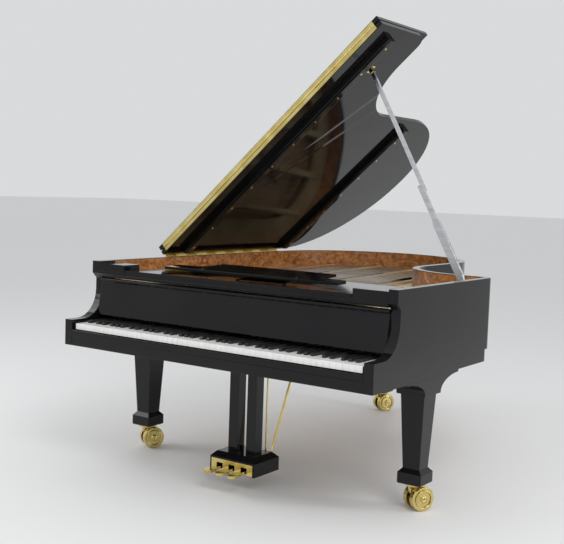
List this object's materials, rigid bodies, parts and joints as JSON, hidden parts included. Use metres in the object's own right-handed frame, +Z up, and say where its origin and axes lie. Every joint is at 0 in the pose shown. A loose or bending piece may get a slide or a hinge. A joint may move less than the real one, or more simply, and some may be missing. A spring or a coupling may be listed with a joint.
{
  "type": "grand piano",
  "caption": "Free-standing grand piano with lid up on its prop, folding front flap and music desk, keyboard, pedal lyre, and casters.",
  "frame": {"origin": "on the floor under the middle of the case", "axes": "+Z up, -Y towards the player, +X towards the treble side"},
  "size_m": [1.6366, 2.238, 2.0397],
  "materials": {
    "lacquer": "black polyester lacquer, polished",
    "burl": "orange-brown burl veneer under varnish",
    "frame_wood": "satin",
    "spruce": "varnished spruce",
    "maple": "satin maple",
    "gold": "gold-bronzed cast iron",
    "brass": "polished",
    "steel": "polished",
    "ivory": "white key tops",
    "ebony": "satin black key tops"
  },
  "bodies": {
    "case": {"outer_rim": "lacquer", "rim_veneer": "burl", "inner_rim": "frame_wood", "case_braces": "frame_wood", "keybed": "lacquer", "key_slip": "lacquer", "key_block_bass": "lacquer", "key_block_treble": "lacquer", "front_rail": "lacquer", "key_frame": "maple", "plate": "gold", "pin_block": "maple", "soundboard": "spruce", "long_bridge": "maple", "bass_bridge": "maple", "action_frame": "maple", "spine_hinge_rim_leaf": "brass", "prop_bracket": "brass", "leg_bass": "lacquer", "leg_treble": "lacquer", "leg_tail": "lacquer", "lyre_frame": "lacquer", "pedal_box": "lacquer", "pedal_plate": "brass", "lyre_brace": "brass", "white_keys_bass": "ivory", "white_keys_treble": "ivory", "black_keys_bass": "ebony", "black_keys_treble": "ebony"},
    "lid": {"lid_main": "lacquer", "lid_batten_front": "lacquer", "lid_batten_rear": "lacquer", "spine_hinge_lid_leaf": "brass", "flap_hinge_lid_leaf": "brass", "prop_cup": "brass"},
    "flap": {"lid_flap": "lacquer", "flap_hinge_flap_leaf": "brass"},
    "prop_stick": {"prop_stick": "steel"},
    "prop_rod": {"prop_rod": "steel"},
    "desk_tray": {"desk_tray": "lacquer"},
    "desk_panel": {"desk_panel": "lacquer"},
    "desk_strut": {"desk_strut": "lacquer"},
    "fallboard": {"fallboard": "lacquer"},
    "key_c4": {"key_c4": "ivory"},
    "key_d4": {"key_d4": "ivory"},
    "key_e4": {"key_e4": "ivory"},
    "key_c_sharp4": {"key_c_sharp4": "ebony"},
    "key_d_sharp4": {"key_d_sharp4": "ebony"},
    "pedal_left": {"pedal_left": "brass"},
    "pedal_rod_left": {"pedal_rod_left": "brass"},
    "pedal_middle": {"pedal_middle": "brass"},
    "pedal_rod_middle": {"pedal_rod_middle": "brass"},
    "pedal_right": {"pedal_right": "brass"},
    "pedal_rod_right": {"pedal_rod_right": "brass"},
    "caster_fork_bass": {"caster_fork_bass": "brass"},
    "caster_wheels_bass": {"caster_wheels_bass": "brass"},
    "caster_fork_treble": {"caster_fork_treble": "brass"},
    "caster_wheels_treble": {"caster_wheels_treble": "brass"},
    "caster_fork_tail": {"caster_fork_tail": "brass"},
    "caster_wheels_tail": {"caster_wheels_tail": "brass"}
  },
  "joints": [
    {"name": "lid_hinge", "type": "hinge", "parent": "case", "child": "lid", "pos_m": [-0.806, 0, 0.9345], "axis": [0, 1, 0], "range_deg": [0, 41.4]},
    {"name": "flap_hinge", "type": "hinge", "parent": "lid", "child": "flap", "pos_m": [-0.8181, -0.4658, 0.9573], "axis": [0.7501, 0, 0.6613], "range_deg": [0, 180]},
    {"name": "prop_stick_hinge", "type": "hinge", "parent": "case", "child": "prop_stick", "pos_m": [0.743, -0.251, 0.912], "axis": [0, 1, 0], "range_deg": [-61.29, 0]},
    {"name": "prop_rod_hinge", "type": "hinge", "parent": "lid", "child": "prop_rod", "pos_m": [0.23526, -0.251, 1.83716], "axis": [0, 1, 0], "range_deg": [0, 77.41]},
    {"name": "desk_slide", "type": "slide", "parent": "case", "child": "desk_tray", "axis": [0, 1, 0], "range_m": [0, 0.12]},
    {"name": "desk_fold", "type": "hinge", "parent": "desk_tray", "child": "desk_panel", "pos_m": [0, -0.836, 0.9073], "axis": [-1, 0, 0], "range_deg": [-70, 0]},
    {"name": "desk_strut_fold", "type": "hinge", "parent": "desk_panel", "child": "desk_strut", "pos_m": [0, -0.72611, 0.9121], "axis": [-1, 0, 0], "range_deg": [0, 140.05]},
    {"name": "fallboard_hinge", "type": "hinge", "parent": "case", "child": "fallboard", "pos_m": [0, -0.939, 0.69], "axis": [1, 0, 0], "range_deg": [0, 100]},
    {"name": "key_c4_pivot", "type": "hinge", "parent": "case", "child": "key_c4", "pos_m": [-0.07175, -0.851, 0.63], "axis": [1, 0, 0], "range_deg": [0, 2.25], "stiffness_Nm_per_rad": 6, "springref_deg": -5.73},
    {"name": "key_d4_pivot", "type": "hinge", "parent": "case", "child": "key_d4", "pos_m": [-0.04305, -0.851, 0.63], "axis": [1, 0, 0], "range_deg": [0, 2.25], "stiffness_Nm_per_rad": 6, "springref_deg": -5.73},
    {"name": "key_e4_pivot", "type": "hinge", "parent": "case", "child": "key_e4", "pos_m": [-0.01435, -0.851, 0.63], "axis": [1, 0, 0], "range_deg": [0, 2.25], "stiffness_Nm_per_rad": 6, "springref_deg": -5.73},
    {"name": "key_c_sharp4_pivot", "type": "hinge", "parent": "case", "child": "key_c_sharp4", "pos_m": [-0.0604, -0.851, 0.63], "axis": [1, 0, 0], "range_deg": [0, 2.25], "stiffness_Nm_per_rad": 6, "springref_deg": -5.73},
    {"name": "key_d_sharp4_pivot", "type": "hinge", "parent": "case", "child": "key_d_sharp4", "pos_m": [-0.0257, -0.851, 0.63], "axis": [1, 0, 0], "range_deg": [0, 2.25], "stiffness_Nm_per_rad": 6, "springref_deg": -5.73},
    {"name": "pedal_left_pivot", "type": "hinge", "parent": "case", "child": "pedal_left", "pos_m": [-0.065, -0.811, 0.084], "axis": [1, 0, 0], "range_deg": [0, 6], "stiffness_Nm_per_rad": 30, "springref_deg": -6.88},
    {"name": "pedal_rod_left_slide", "type": "slide", "parent": "case", "child": "pedal_rod_left", "axis": [0, 0, 1], "range_m": [0, 0.009]},
    {"name": "pedal_middle_pivot", "type": "hinge", "parent": "case", "child": "pedal_middle", "pos_m": [0, -0.811, 0.084], "axis": [1, 0, 0], "range_deg": [0, 6], "stiffness_Nm_per_rad": 30, "springref_deg": -6.88},
    {"name": "pedal_rod_middle_slide", "type": "slide", "parent": "case", "child": "pedal_rod_middle", "axis": [0, 0, 1], "range_m": [0, 0.009]},
    {"name": "pedal_right_pivot", "type": "hinge", "parent": "case", "child": "pedal_right", "pos_m": [0.065, -0.811, 0.084], "axis": [1, 0, 0], "range_deg": [0, 6], "stiffness_Nm_per_rad": 30, "springref_deg": -6.88},
    {"name": "pedal_rod_right_slide", "type": "slide", "parent": "case", "child": "pedal_rod_right", "axis": [0, 0, 1], "range_m": [0, 0.009]},
    {"name": "caster_swivel_bass", "type": "hinge", "parent": "case", "child": "caster_fork_bass", "pos_m": [-0.735, -0.621, 0.1], "axis": [0, 0, 1], "continuous": true},
    {"name": "caster_roll_bass", "type": "hinge", "parent": "caster_fork_bass", "child": "caster_wheels_bass", "pos_m": [-0.724, -0.60195, 0.051], "axis": [0.866, -0.5, 0], "continuous": true},
    {"name": "caster_swivel_treble", "type": "hinge", "parent": "case", "child": "caster_fork_treble", "pos_m": [0.735, -0.621, 0.1], "axis": [0, 0, 1], "continuous": true},
    {"name": "caster_roll_treble", "type": "hinge", "parent": "caster_fork_treble", "child": "caster_wheels_treble", "pos_m": [0.746, -0.60195, 0.051], "axis": [0.866, -0.5, 0], "continuous": true},
    {"name": "caster_swivel_tail", "type": "hinge", "parent": "case", "child": "caster_fork_tail", "pos_m": [-0.285, 0.914, 0.1], "axis": [0, 0, 1], "continuous": true},
    {"name": "caster_roll_tail", "type": "hinge", "parent": "caster_fork_tail", "child": "caster_wheels_tail", "pos_m": [-0.274, 0.93305, 0.051], "axis": [0.866, -0.5, 0], "continuous": true}
  ],
  "couplings": [
    {"joint": "prop_stick_hinge", "follows": "lid_hinge", "ratio": -1.4793},
    {"joint": "prop_rod_hinge", "follows": "lid_hinge", "ratio": 1.8686},
    {"joint": "desk_strut_fold", "follows": "desk_fold", "ratio": -2},
    {"joint": "pedal_rod_left_slide", "follows": "pedal_left_pivot", "m_per_rad": 0.078},
    {"joint": "pedal_rod_middle_slide", "follows": "pedal_middle_pivot", "m_per_rad": 0.078},
    {"joint": "pedal_rod_right_slide", "follows": "pedal_right_pivot", "m_per_rad": 0.078}
  ]
}
